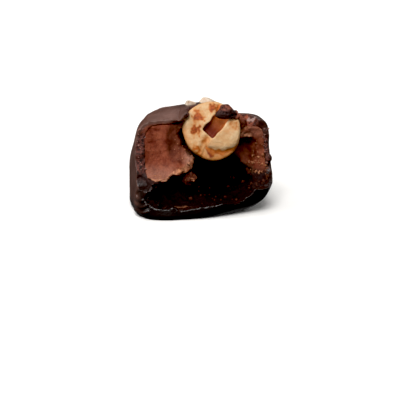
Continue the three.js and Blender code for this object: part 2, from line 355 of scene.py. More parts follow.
def skin(space, field):
    """The surface where a depth is nought, as points in millimetres and four-cornered faces."""
    inside = field < 0
    size = [n - 1 for n in field.shape]

    def shifted(values, corner):
        return values[tuple(slice(c, c + n) for c, n in zip(corner, size))]

    count = sum(shifted(inside, corner).astype(np.int8) for corner in CORNERS)
    active = (count > 0) & (count < 8)
    cells = np.argwhere(active)
    number = np.full(active.shape, -1, np.int32)
    number[active] = np.arange(len(cells))
    value = {corner: shifted(field, corner)[active] for corner in CORNERS}
    low, high = (
        np.stack([axis[cells[:, d] + end] for d, axis in enumerate(space.axes)], axis=1).astype(float)
        for end in (0, 1)
    )
    total = np.zeros((len(cells), 3))
    hits = np.zeros(len(cells))
    # Each point is the mean of the places where its cell's edges cross the surface
    for d in range(3):
        for corner in CORNERS:
            if corner[d]:
                continue
            beyond = tuple(1 if i == d else corner[i] for i in range(3))
            crossed = (value[corner] < 0) != (value[beyond] < 0)
            drop = np.where(crossed, value[corner] - value[beyond], 1)
            point = np.where(np.array(corner, bool), high, low)
            point[:, d] += np.where(crossed, value[corner] / drop, 0) * (high[:, d] - low[:, d])
            total += point * crossed[:, None]
            hits += crossed
    faces = []
    # Each edge that crosses the surface gives a face between the four cells round it
    for d in range(3):
        a, b = (d + 1) % 3, (d + 2) % 3
        here = [slice(1, n) for n in size]
        here[d] = slice(0, size[d])
        there = list(here)
        there[d] = slice(1, size[d] + 1)
        first, second = inside[tuple(here)], inside[tuple(there)]
        for leaving in (True, False):
            found = np.argwhere((first != second) & (first == leaving)) + 1
            found[:, d] -= 1
            ring = []
            for back_a, back_b in ((1, 1), (0, 1), (0, 0), (1, 0)):
                cell = found.copy()
                cell[:, a] -= back_a
                cell[:, b] -= back_b
                ring.append(number[tuple(cell.T)])
            faces.append(np.stack(ring if leaving else ring[::-1], axis=1))
    return settle(space, field, *largest_body(total / hits[:, None], np.concatenate(faces)))


def largest_body(points, faces):
    """Leaves out the loose scraps of a skin."""
    label = np.arange(len(points))
    edges = np.concatenate([faces[:, [i, (i + 1) % 4]] for i in range(4)])
    while True:
        least = np.minimum(label[edges[:, 0]], label[edges[:, 1]])
        fresh = label.copy()
        np.minimum.at(fresh, edges[:, 0], least)
        np.minimum.at(fresh, edges[:, 1], least)
        fresh = fresh[fresh]
        if (fresh == label).all():
            break
        label = fresh
    kept = label == np.bincount(label).argmax()
    number = np.cumsum(kept) - 1
    return points[kept], number[faces[kept[faces[:, 0]]]]


def settle(space, field, points, faces):
    """Moves the points of a skin onto the surface itself."""
    slopes = np.gradient(field, *space.axes)
    for _ in range(2):
        slope = np.stack([space.sample(s, points) for s in slopes], axis=1)
        step = space.sample(field, points)[:, None] * slope / np.maximum((slope**2).sum(1), 0.04)[:, None]
        points = points - np.clip(step, -0.1, 0.1)
    return points, faces


def make_piece(name, points, faces, material, values=None, even=True):
    """A mesh in metres, with a value for each point under each name."""
    mesh = bpy.data.meshes.new(name)
    mesh.from_pydata((points * MM).tolist(), [], faces.tolist())
    for key, value in (values or {}).items():
        mesh.attributes.new(key, "FLOAT", "POINT").data.foreach_set("value", np.asarray(value, np.float32))
    mesh.polygons.foreach_set("use_smooth", np.full(len(mesh.polygons), even))
    mesh.materials.append(material)
    mesh.update()
    piece = bpy.data.objects.new(name, mesh)
    bpy.context.scene.collection.objects.link(piece)
    return piece


def colour(code):
    """An sRGB hex colour as linear light."""
    parts = [int(code[i : i + 2], 16) / 255 for i in (1, 3, 5)]
    return [p / 12.92 if p <= 0.04045 else ((p + 0.055) / 1.055) ** 2.4 for p in parts] + [1.0]


def add(owner, kind, settings=None, inputs=None):
    """One node. Its inputs are numbers, hex colours, what feeds them, or names of values on the points."""
    tree = owner.node_tree
    node = tree.nodes.new("ShaderNode" + kind)
    for key, value in (settings or {}).items():
        setattr(node, key, value)
    for key, value in (inputs or {}).items():
        if isinstance(value, str) and value.startswith("#"):
            value = colour(value)
        elif isinstance(value, str):
            value = add(owner, "Attribute", {"attribute_name": value}).outputs["Fac"]
        if isinstance(value, bpy.types.NodeSocket):
            tree.links.new(value, node.inputs[key])
        else:
            node.inputs[key].default_value = value
    return node


def new_material(name):
    material = bpy.data.materials.new(name)
    material.use_nodes = True
    material.node_tree.nodes.clear()
    return material


def patches(material, length, detail, low=0.35, high=0.65):
    """Random patches of a real length in millimetres, from 0 to 1."""
    place = add(material, "TexCoord").outputs["Object"]
    pattern = {"Vector": place, "Scale": 1 / (length * MM), "Detail": detail, "Roughness": 0.62}
    noise = add(material, "TexNoise", None, pattern).outputs[0]
    return add(material, "MapRange", None, {0: noise, 1: low, 2: high}).outputs[0]


def layered(material, lowest, *layers):
    """A colour, or a number, with others laid over it in turn, each by a share from 0 to 1."""
    for share, over in layers:
        kind, low, high, result = ("FLOAT", 2, 3, 0) if isinstance(over, float) else ("RGBA", 6, 7, 2)
        mixed = add(material, "Mix", {"data_type": kind}, {0: share, low: lowest, high: over})
        lowest = mixed.outputs[result]
    return lowest


def finish(material, base, roughness, relief, inputs=None):
    """The material's shading, with fine relief from (height in mm, pattern) pairs."""
    settings = {"Base Color": base, "Roughness": roughness, "Subsurface Scale": MM}
    for height, pattern in relief:
        below = {"Normal": settings["Normal"]} if "Normal" in settings else {}
        bump = add(material, "Bump", None, {"Height": pattern, "Distance": height * MM} | below)
        settings["Normal"] = bump.outputs[0]
    shader = add(material, "BsdfPrincipled", None, settings | (inputs or {}))
    add(material, "OutputMaterial", None, {"Surface": shader.outputs[0]})


def dipped_dark_chocolate():
    """Dipped chocolate, set: glossy and painted near black low down at the front as shade, satin above with
    fat bloom and a painted grey sheen of the light, matt where broken.
    """
    material = new_material("dipped_dark_chocolate")
    # The satin grey is partly fat bloom and partly a painted sheen of the light from above
    cloudy_sheen = layered(material, "#57382e", (patches(material, length=4.0, detail=4), "#6d4c42"))
    # Where it has none of the bloom and sheen, the outside is painted near black: shade low at the front
    outside = layered(material, "#170e0c", ("bloom_and_sheen", cloudy_sheen))
    cocoa = patches(material, length=0.5, detail=4, low=0.42, high=0.6)
    dark_grain = layered(material, "#1e0905", (cocoa, "#62332a"))
    pale_grain = layered(material, "#612817", (patches(material, length=0.7, detail=4), "#9a543c"))
    # The darkest brown is painted shade: in pits, on crumbs below their tops and low at the left
    # The flat facet's pale grey is a painted reflection
    inside = layered(material, dark_grain, ("airy", pale_grain), ("sheen_facet", "#947a72"), ("painted_coating_shade", "#1e0805"))
    base = layered(material, outside, ("broken", inside))
    roughness = layered(material, 0.2, ("bloom_and_sheen", 0.5), ("broken", 0.62))
    crumbly = layered(material, 0.2, ("broken", 1.0))
    fine = {0: patches(material, length=0.3, detail=3), 1: crumbly}
    grain = add(material, "Math", {"operation": "MULTIPLY"}, fine).outputs[0]
    relief = ((0.03, patches(material, length=1.6, detail=2)), (0.06, grain))
    finish(material, base, roughness, relief, {"Specular IOR Level": 0.32})
    return material


def milled_praline():
    """Nut paste and chocolate milled fine: waxy where scraped, crumbly where torn, painted near black deep in
    and low down as shade, and painted paler where light falls on ledges and lips.
    """
    material = new_material("milled_praline")
    scraped = layered(material, "#5c2113", (patches(material, length=1.8, detail=5), "#904d36"))
    crumbs = layered(material, "#74371f", (patches(material, length=0.6, detail=5), "#c98a64"))
    # The near black is painted shade deep in the bite; the pale is painted light
    base = layered(material, scraped, ("torn", crumbs), ("pale", "#996e5c"), ("painted_shade", "#130506"))
    roughness = layered(material, 0.5, ("torn", 0.75))
    coarse = patches(material, length=0.9, detail=4)
    fine = patches(material, length=0.25, detail=3)
    soft = {"Subsurface Weight": 0.1, "Subsurface Radius": (0.8, 0.4, 0.2), "Specular IOR Level": 0.16}
    finish(material, base, roughness, ((0.1, coarse), (0.08, fine)), soft)
    return material


def roasted_hazelnut():
    """A skinned nut, roasted: pale and waxy where bitten, gold to orange-brown where the oven caught it,
    brown in its hollow, painted darker low in it and towards its lower left as shade, and lighter up the
    hollow as light.
    """
    material = new_material("roasted_hazelnut")
    flesh = layered(material, "#b2875a", (patches(material, length=2.2, detail=5), "#c8a981"))
    toasted = layered(material, "#642804", (patches(material, length=0.7, detail=4), "#a04a12"))
    # The hollow: the cavity's brown, painted darker low down as shade and lighter upwards as light
    deep = layered(material, "#6a2513", ("lit_upward", "#cc743a"))
    seared = layered(material, "#84400f", (patches(material, length=0.8, detail=4), "#ad6428"))
    # The toast colour also carries painted shade at the nut's lower left
    roasted = layered(material, flesh, ("toast_and_shade", "#b06c2c"), ("scorch", toasted))
    base = layered(material, roasted, ("hollow", deep), ("skin", seared))
    coarse = patches(material, length=1.1, detail=4)
    fine = patches(material, length=0.3, detail=3)
    soft = {"Subsurface Weight": 0.12, "Subsurface Radius": (1.0, 0.5, 0.25), "Specular IOR Level": 0.25}
    finish(material, base, 0.55, ((0.08, coarse), (0.03, fine)), soft)
    return material


def salt_crystal():
    """Coarse salt: clear crystal clouded by its own cracks, so milky with wet-looking facets."""
    material = new_material("salt_crystal")
    base = layered(material, "#c4ab92", (patches(material, length=0.9, detail=3), "#e0d0be"))
    relief = ((0.05, patches(material, length=0.7, detail=3)),)
    finish(material, base, 0.3, relief, {"Subsurface Weight": 0.3, "Subsurface Radius": (1.0, 0.9, 0.8)})
    return material


def in_nut(space):
    """Each point's place in the nut: right and up across its bitten face, and how deep behind its middle."""
    x, y, z = space.x - NUT[0], space.y - NUT[1], space.z - NUT[2]
    ahead = x * math.sin(NUT_TURN) + y * math.cos(NUT_TURN)
    right = x * math.cos(NUT_TURN) - y * math.sin(NUT_TURN)
    up = ahead * math.sin(NUT_LEAN) + z * math.cos(NUT_LEAN)
    return right, up, ahead * math.cos(NUT_LEAN) - z * math.sin(NUT_LEAN)


# The coating's box of points: lowest and highest corner, step, where it is coarser behind, step there
COATING_BOX = ((-16.9, -12.8, -0.7), (16.9, 12.8, 25.9), 0.22, 1.0, 0.4)
# Two ridges on its roof, by their share of the way out, and ribs on its left wall
RIDGES_AT = (0.8, 0.62)
RIDGE = 0.11
RIDGE_WIDTH = 0.02
RIB = 0.07
RIB_LENGTHS = (2.5, 0.9, 8.0)
# A crack in its roof, from front to back
CRACK_X = (-5.7, -4.1)
CRACK_Y = (-4.3, 5.0)
CRACK_DEPTH = 0.22
CRACK_WIDTH = 0.17
CRACK_WANDER = 0.15
# How uneven it set: height, length, seed
SET_UNEVEN = ((0.07, 4.5, 21), (0.025, 1.6, 22))
# Folds where it ran together at the lower left: middle to the right and up, radius, from and to in degrees
FOLDS = ((-13.75, 2.5, 1.25, 95, 280), (-13.6, 1.9, 2.1, 190, 315), (-13.2, 1.6, 3.1, 215, 290))
FOLD_THICKNESS = 0.38
FOLD_FILLET = 0.35
DEGREES_A_RADIAN = 57
# Crumbs of coating stuck to the nut, lumps of broken roof beside it, bumps on the right side: place, radius
STUCK_CRUMBS = (((4.4, -6.95, 23.65), 1.75), ((3.2, -7.1, 23.2), 1.05), ((5.6, -6.8, 22.9), 1.1))
ROOF_LUMPS = (
    ((6.55, -6.3, 22.5), 1.05),
    ((7.75, -4.85, 21.6), 1.1),
    ((8.6, -3.2, 20.5), 1.2),
    ((9.0, -1.6, 19.4), 1.3),
)
SIDE_BUMPS = (((14.6, -3.0, 11.6), 1.45), ((14.9, -4.0, 6.2), 1.2))
# Room round the nut
COATING_ROOM = 0.06
# Bubbles in the broken roof right of the nut, as the bite is faced: to the right, up, radius
BUBBLES = (
    (7.96, 20.64, 0.34),
    (9.64, 20.45, 0.46),
    (11.15, 20.9, 0.3),
    (11.55, 20.5, 0.36),
    (8.89, 18.31, 0.34),
    (12.57, 19.45, 0.28),
    (8.5, 19.5, 0.26),
)
# Small bubbles, and holes in the crumbs on the nut: how many, then from and to of the same three
SMALL_BUBBLES = (40, (7.5, 13.2), (17.8, 21.2), (0.15, 0.27))
CRUMB_HOLES = (46, (3.0, 7.4), (20.2, 23.6), (0.13, 0.3))
BEHIND_THE_BREAK = 5.0
# The flat facet beside the bubbles, painted pale grey as a reflection, to the right and up; it leans back and
# stands on a corner
FACET_AT = (11.64, 20.45)
FACET_HALF = 1.25
FACET_DEPTH = 0.25
FACET_LEAN = math.radians(25)
FACET_FACING = FORWARDS * math.cos(FACET_LEAN) + UPWARDS * math.sin(FACET_LEAN)
FACET_UP = UPWARDS * math.cos(FACET_LEAN) - FORWARDS * math.sin(FACET_LEAN)


def fold_ridges(space, outer):
    """Rounded ridges lying in arcs on the front corner of the coating."""
    right, up = space.right, space.up
    ridges = np.full(outer.shape, FAR_OFF, np.float32)
    for fold_right, fold_up, radius, first, last in FOLDS:
        angle = np.degrees(np.arctan2(up - fold_up, right - fold_right)) % 360
        off = np.abs(np.hypot(right - fold_right, up - fold_up) - radius)
        past = np.maximum(np.maximum(first - angle, angle - last), 0) * radius / DEGREES_A_RADIAN
        ridges = np.minimum(ridges, np.sqrt(off**2 + past**2 + outer**2) - FOLD_THICKNESS)
    return np.where(space.y < -4, ridges, FAR_OFF)


def coating_outside(space):
    """The depth below the coating's outside, without and with the folds at its corner."""
    x, y, z = space.places
    outer, out = block(space, 0, 0, 0, 0, 0, OUTER_POWERS)
    upper = smooth(z, 15, 18) * smooth(-x, -1, 5)
    ridges = sum(RIDGE * bell(out - at, RIDGE_WIDTH) for at in RIDGES_AT)
    ribs = RIB * space.lumps(RIB_LENGTHS, seed=24) * smooth(-x, 13.5, 15) * smooth(z, 20, 16)
    backwards = (y - CRACK_Y[0]) / (CRACK_Y[1] - CRACK_Y[0])
    beside = x - mix(*CRACK_X, backwards) - CRACK_WANDER * space.lumps(1.6, seed=23)
    crack = CRACK_DEPTH * bell(beside, CRACK_WIDTH) * smooth(y, 5.5, 4.5) * smooth(z, 18, 20)
    outer = outer - upper * ridges - ribs
    for height, length, seed in SET_UNEVEN:
        outer = outer - height * space.lumps(length, seed)
    flat = outer + crack
    outer = soft_union(flat, fold_ridges(space, flat), FOLD_FILLET)
    return flat, np.maximum(outer, -z)


def broken_coating(space, outer):
    """The coating less its inside and the bite, and the crumbs and lumps of roof that stand on it."""
    inner, _ = block(space, WALL, LEFT_EXTRA, ROOF, FLOOR, PATCH, INNER_POWERS)
    cut, _, _ = bite(space, grow=0.0, ruggedness=1.3, least=0.4)
    porous = space.roughness(POROUS)
    nothing = np.full(outer.shape, FAR_OFF, np.float32)
    crumbs = with_balls(space, nothing, STUCK_CRUMBS, 0.5, 0.45 * porous)
    roof = with_balls(space, nothing, ROOF_LUMPS, 0.4, porous)
    field = soft_union(np.maximum(outer, -cut), roof, 0.4)
    field = with_balls(space, field, SIDE_BUMPS, 0.2, 0.2 * porous)
    field = np.maximum(np.minimum(field, crumbs), -inner)
    ball = space.far(NUT) - NUT_RADIUS - COATING_ROOM
    nut_face = -in_nut(space)[2] - NUT_FRONT - HALF_STEP - COATING_ROOM
    return np.maximum(field, -np.maximum(ball, nut_face)), crumbs, roof


def cut_facet(space, field):
    """The coating less a flat chip, the middle of the chip's face, and the depth inside its edges."""
    middle = space.front(field, *FACET_AT) - FACET_DEPTH * FACET_FACING
    rising = space.along(middle, RIGHTWARDS + FACET_UP)
    falling = space.along(middle, RIGHTWARDS - FACET_UP)
    edges = np.maximum(np.abs(rising), np.abs(falling)) / math.sqrt(2) - FACET_HALF
    chip = np.maximum(edges, -space.along(middle, FACET_FACING))
    return np.maximum(field, -chip), middle, edges


def blow_bubbles(space, field):
    """Takes the bubbles out of the coating, and lists their places and radii."""
    draw = np.random.default_rng(5)
    bubbles = list(BUBBLES)
    for number, *ranges in (SMALL_BUBBLES, CRUMB_HOLES):
        bubbles += [[draw.uniform(*between) for between in ranges] for _ in range(number)]
    pits = []
    for right, up, radius in bubbles:
        place = space.front(field, right, up)
        if place[1] < BEHIND_THE_BREAK:
            space.pit(field, place, radius)
            pits.append((place, radius))
    return pits


def coating_values(points, depth, facet_at, pits):
    """How broken and airy the coating is at each point of its skin, how much fat bloom and painted sheen it
    has, and where shade is painted on it.
    """
    x, y, z = points.T
    # Painted shade inside each bubble pit
    in_pit = np.zeros(len(points))
    for place, radius in pits:
        in_pit = np.maximum(in_pit, smooth(far_from(points, place), radius + 0.08, radius - 0.06))
    stuck = smooth(depth["crumbs"], 0.35, 0.1)
    # Near the top left the grey outside colour, with its painted sheen, reaches further over the broken edge
    shallow = smooth(-x, 4.5, 6.5) * smooth(z, 16.5, 18.5)
    broken = smooth(-depth["outer"], 0.08 + 0.5 * shallow, 0.3 + 0.6 * shallow)
    broken = np.maximum(broken, np.maximum(stuck, smooth(depth["roof"], 0.35, 0.1)))
    # Painted shade: at the right shoulder the broken coating keeps mostly the darker outside colour
    shoulder = smooth(x, 12.4, 13.2) * smooth(z, 15.5, 17.5)
    broken = broken * (1 - 0.7 * shoulder)
    rightward = smooth(x, 9, 12)
    # Low down, rising towards the right: where the broken coating is painted near black as shade
    shaded_low_down = smooth(z, mix(8.5, 10.3, rightward), mix(6.5, 8.2, rightward))
    # Pale grain of the broken roof right of the nut, fading at the shoulder as painted shade
    airy = smooth(x, 5.0, 6.5) * smooth(z, 16.5, 18.5) * (1 - 0.85 * smooth(x, 11.0, 13.0))
    airy = np.maximum(airy, 0.6 * smooth(-x, 4.5, 6) * smooth(z, 18.3, 19.3))
    # On the crumbs on the nut the pale grain lies only on their tops, as painted light
    airy = mix(airy, 0.5 * smooth(z, 23.9, 24.8), stuck)
    # Fat bloom and painted sheen: more of it higher up, so the coating is painted darker low down as shade
    # and greyer above as sheen
    bloom_and_sheen = smooth(z, 4, 15) * 0.76 + 0.04 * smooth(z, 17, 21)
    # Low down the sides and back keep some, while the front stays near black as painted shade
    bloom_and_sheen = np.maximum(bloom_and_sheen, 0.6 * smooth(z, 0.5, 4) * smooth(y, -9, -6))
    # Less of the painted sheen from the middle rightwards, and less again at the right
    bloom_and_sheen = bloom_and_sheen * (1 - 0.38 * smooth(x, -8, -3) - 0.12 * smooth(x, 8, 13))
    # Painted highlight: a touch of grey sheen on the crests of the folds at the front corner
    crest_highlight = smooth(depth["flat"], 0.2, 0.36) * smooth(-y, 7, 9) * smooth(z, 9, 8)
    bloom_and_sheen = np.maximum(bloom_and_sheen * (1 - broken), 0.15 * crest_highlight)
    # Painted shade: low down the broken coating takes the near-black outside colour, without bloom or sheen
    broken = broken * (1 - 0.9 * shaded_low_down)
    # Painted reflection: the flat facet is pale grey
    off_facet = np.abs((points - facet_at) @ FACET_FACING)
    sheen_facet = smooth(depth["sheen_facet"], 0.12, 0.0) * smooth(off_facet, 0.3, 0.15)
    # Painted shade on the crumbs on the nut below their tops, and low on the broken edge at the left front
    dark_crumb = 0.8 * stuck * smooth(z, 24.6, 23.8)
    dark_edge = 0.85 * smooth(z, 10.6, 9.2) * smooth(-x, 6, 9)
    painted_coating_shade = np.maximum(in_pit, np.maximum(dark_crumb, dark_edge))
    return {"broken": broken, "airy": airy, "sheen_facet": 0.8 * sheen_facet * (1 - in_pit), "bloom_and_sheen": bloom_and_sheen, "painted_coating_shade": painted_coating_shade}


def make_coating(material):
    """The dark coating: the block's skin, broken at the front, thick and full of bubbles right of the nut."""
    space = Space(*COATING_BOX)
    flat, outer = coating_outside(space)
    field, crumbs, roof = broken_coating(space, outer)
    field, facet_at, sheen_facet = cut_facet(space, field)
    pits = blow_bubbles(space, field)
    points, faces = skin(space, field)
    depths = {"flat": flat, "outer": outer, "crumbs": crumbs, "roof": roof, "sheen_facet": sheen_facet}
    depths = {name: space.sample(depth, points) for name, depth in depths.items()}
    values = coating_values(points, depths, facet_at, pits)
    piece = make_piece("coating", points, faces, material, values)
    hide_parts("chocolate_shell")
    return piece


# The praline's box of points, like the coating's
PRALINE_BOX = ((-14.8, -11.2, 1.2), (15.2, 11.2, 23.2), 0.22, 1.5, 0.5)
# Channels that teeth scraped, leaning to the left as they rise: place at a middle height, width, depth
CHANNELS = ((-10.1, 0.4, 0.08), (-7.7, 0.8, 0.2), (-12.1, 0.5, 0.05))
CHANNEL_LEAN = 0.05
CHANNEL_MIDDLE = 15
# The lip left of the hollow, as the bite is faced: its ridge and, below that, the edge of its torn face
LIP_RIGHT = (-13.6, -10.5, -8.4, -7.7, -7.2, -6.5, -4.9, -4.2, -2.6, -1.9, -1.6, -1.2)
LIP_RIDGE = (6.3, 6.2, 6.2, 6.6, 7.4, 7.9, 8.8, 9.2, 10.4, 11.4, 11.8, 13.5)
LIP_EDGE = (5.8, 5.6, 5.5, 5.7, 6.7, 7.2, 7.0, 6.7, 8.3, 10.0, 11.3, 13.0)
# How deep its face is torn, and how deep the bite goes under its edge
LIP_TEAR = 0.35
UNDER_LIP = 6
# A tongue left standing under the lip: its root and its tip, their radii, and the balls that make it
TONGUE = np.array(((-3.4, -4.6, 7.7), (-4.0, -7.4, 8.45)))
TONGUE_RADII = (1.2, 0.9)
TONGUE_BALLS = 6
# Torn shreds along the lip, as the bite is faced: to the right, up, radius
SHREDS = (
    (-6.9, 7.3, 0.35),
    (-5.6, 7.8, 0.5),
    (-4.8, 7.9, 0.75),
    (-4.0, 8.2, 0.85),
    (-3.4, 8.9, 0.85),
    (-2.8, 9.6, 0.8),
    (-2.4, 10.4, 0.65),
    (-2.1, 11.1, 0.45),
)
# A small ridge over a hole at the right, likewise, and how far it stands out
OVERHANG = ((8.9, 16.4, 0.6), (9.6, 16.6, 0.65), (10.3, 16.5, 0.65), (11.0, 16.2, 0.6))
OVERHANG_OUT = 0.8
# Torn holes, likewise
HOLES = (
    (-5.1, 16.4, 0.45),
    (-4.4, 14.3, 0.5),
    (-3.8, 13.8, 0.5),
    (9.9, 14.9, 0.6),
    (10.6, 14.7, 0.75),
    (11.3, 14.6, 0.6),
)
# Roughness of the torn faces and of the lumps on them: height, length, seed
SHREDDED = ((0.2, 0.55, 45), (0.12, 0.35, 46))
CRUMBLED = ((0.14, 0.7, 43),)
PRALINE_ROOM = 0.12


def praline_inside(space):
    """The depth in the block's inside: fuller low down, and drawn back from the roof at the left."""
    x, z = space.x, space.z
    inner, _ = block(space, WALL, LEFT_EXTRA, ROOF, FLOOR, PATCH, INNER_POWERS)
    crack = 0.22 * smooth(x, -12.2, -11.2) * smooth(x, -7.6, -8.4)
    recess = 0.75 * smooth(x, -7.8, -6.8) * smooth(x, -4.6, -5.4)
    return inner + ((crack + recess) * smooth(z, 17, 19) - 0.25 * smooth(z, 18.5, 17.5))


def scraped_bite(space):
    """The depth inside the praline's bite, with the teeth's channels, how crumbly it is and how much shade is
    painted on it.
    """
    uneven = mix(-0.3, 0.6, smooth(space.lumps(2.4, seed=44), -1, 1))
    set_back = FILLING_SET_BACK * uneven * smooth(space.x, 9, 6)
    cut, crumbly, painted_shade = bite(space, set_back, ruggedness=1.5)
    lean = CHANNEL_LEAN * (space.z - CHANNEL_MIDDLE)
    channels = sum(deep * bell(space.x - place + lean, width) for place, width, deep in CHANNELS)
    return cut - channels * smooth(space.z, 9.5, 12), crumbly, painted_shade


def torn_lip(space):
    """Where the lip is, how torn it is there, and how high its torn face's edge lies."""
    ridge = np.interp(space.right, LIP_RIGHT, LIP_RIDGE)
    edge = np.interp(space.right, LIP_RIGHT, LIP_EDGE)
    at_lip = smooth(space.right, -14.4, -13.8) * smooth(space.right, 0.5, -0.5) * smooth(-space.y, 3, 5)
    at_lip = at_lip * smooth(space.z, 5.5, 6.5) * smooth(space.up, 14, 13)
    tear = at_lip * smooth((ridge - space.up) / (ridge - edge), -0.1, 0.9)
    return at_lip, tear, edge


def nut_socket(space):
    """The depth in the room left for the nut, wider and rougher at the nut's lower left."""
    nut_right, nut_up, _ = in_nut(space)
    beside = 0.8 * smooth(-nut_right, 1, 4.5) * smooth(-nut_up, -2.5, 3)
    room = space.far(NUT) - NUT_RADIUS - PRALINE_ROOM - beside
    return room - mix(0.08, 0.22, beside) * space.lumps(0.8, seed=41)


def praline_values(points, crumbly, painted_shade, tear, tongue, overhang):
    """How torn the praline is at each point of its skin, and how much shade and light are painted on it."""
    x, y, z = points.T
    torn = np.maximum(smooth(crumbly, 0.12, 0.75), smooth(tear, 0.05, 0.3))
    # Painted shade: darker deep in the bite and low down, none on the torn face
    shade_share = painted_shade * np.maximum(smooth(y, -8.5, -5.5), smooth(z, 8.5, 7)) * (1 - tear)
    # Painted shade low at the right
    shade_share = np.maximum(shade_share, 0.97 * smooth(x, 7, 10) * smooth(z, 10.5, 8))
    # Painted light: the up-facing ledge and the lip's top are paler
    ledge = smooth(z, 12.5, 9.2) * smooth(-x, 6.3, 7.3) * smooth(z, 7.6, 8.3)
    lip = smooth(x, -6, -4) * smooth(-x, 1, 3) * smooth(z, 9, 11) * smooth(z, 15.5, 12.5) * (1 - tear)
    # Painted shade down the second channel, and hardly any on the lip
    streak = 0.25 * bell(x + 7.6, 0.7) * smooth(z, 10, 11) * smooth(z, 15, 14)
    shade_share = np.maximum(shade_share * (1 - 0.9 * lip), streak)
    below_lip = smooth(np.interp(points @ RIGHTWARDS, LIP_RIGHT, LIP_EDGE) - points @ UPWARDS, -0.3, 0.2)
    # The small overhang, torn and painted lighter as light
    over = np.zeros(len(points))
    for place, radius in overhang:
        over = np.maximum(over, smooth(far_from(points, place), radius + 0.3, radius))
    # The tongue under the lip keeps less painted shade and is less torn
    for place, radius in tongue:
        in_tongue = smooth(far_from(points, place), radius + 1.0, radius + 0.4) * below_lip
        shade_share = mix(shade_share, 0.7, in_tongue)
        torn = torn * (1 - 0.8 * in_tongue)
    high_right = smooth(x, 9.5, 11.5) * smooth(z, 15.5, 17.5)
    # Painted light: paler on the ledge, the lip and the overhang; paler also at the upper right
    pale = np.maximum(np.maximum(0.5 * ledge, 0.8 * lip), np.maximum(0.4 * over, 0.3 * high_right))
    return {"torn": np.maximum(torn, over), "painted_shade": shade_share * (1 - over) * (1 - high_right), "pale": pale}


def make_praline(material):
    """The praline: the block's inside as the bite left it, with a socket for the nut."""
    space = Space(*PRALINE_BOX)
    cut, crumbly, painted_shade = scraped_bite(space)
    at_lip, tear, edge = torn_lip(space)
    shreds = space.roughness(SHREDDED)
    cut = cut - tear * (LIP_TEAR + shreds) - UNDER_LIP * at_lip * smooth(edge - space.up, 0, 0.6)
    field = np.maximum(np.maximum(praline_inside(space), -cut), -nut_socket(space))
    rough = space.roughness(CRUMBLED)
    overhang = []
    for right, up, radius in OVERHANG:
        overhang.append((space.front(field, right, up) + OVERHANG_OUT * FORWARDS, radius))
    along = np.linspace(0, 1, TONGUE_BALLS)
    tongue = [(mix(*TONGUE, share), mix(*TONGUE_RADII, share)) for share in along]
    torn_off = []
    for right, up, radius in SHREDS:
        behind = space.front(field, right - 0.4, up + 0.4) - 0.3 * FORWARDS
        torn_off.append((behind + 0.4 * (RIGHTWARDS - UPWARDS), radius))
    field = with_balls(space, field, torn_off, 0.3, rough, shreds)
    field = with_balls(space, field, (*tongue, *overhang), 0.5, rough, shreds)
    for right, up, radius in HOLES:
        space.pit(field, space.front(field, right, up), radius)
    points, faces = skin(space, field)
    torn_face = tear * smooth(space.up - edge, -0.6, -0.1)
    sampled = [space.sample(share, points) for share in (crumbly, painted_shade, torn_face)]
    values = praline_values(points, *sampled, tongue, overhang)
    piece = make_piece("praline", points, faces, material, values)
    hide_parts("praline_filling")
    return piece


# The nut's box of points: how far it reaches past the nut, step, where it is coarser behind, step there
NUT_MARGIN = 0.6
NUT_STEP = 0.14
NUT_BACK = 1.5
NUT_BACK_STEP = 0.3
# The round edge of its right half, a little inside that of the solids
LOBE_RADIUS = 5.1
# Where the halves meet, right of its middle, and how the line between them bends
SPLIT_AT = 0.8
SPLIT_BEND = 0.025
VALLEY = 0.3
# Where the oven caught it: right of its middle, above it, size, how strongly
TOAST_SPOTS = (
    (-3.1, 3.4, 0.95, 1.5),
    (-2.3, 2.8, 0.6, 1.2),
    (-2.6, 5.0, 0.3, 0.8),
    (-3.4, 0.2, 0.85, 1.3),
    (-3.6, -0.6, 0.5, 1.5),
    (-2.4, 0.9, 0.35, 0.9),
    (-4.3, -0.2, 0.35, 0.9),
    (5.2, 1.5, 0.9, 0.9),
    (0.6, 5.3, 0.8, 1.2),
    (-2.9, -3.9, 0.6, 0.6),
    (-1.1, -2.2, 0.9, 0.35),
    (3.4, -0.1, 0.7, 0.3),
)
# A dark spot painted where its two halves meet below: right of its middle, above it, size
SEAM_SPOT = (-0.2, -5.0, 0.7)
# Where its outline is flatter or fuller than a ball's: direction in degrees, by how much
UNEVEN_SIDES = ((219, -0.5), (305, 0.35))


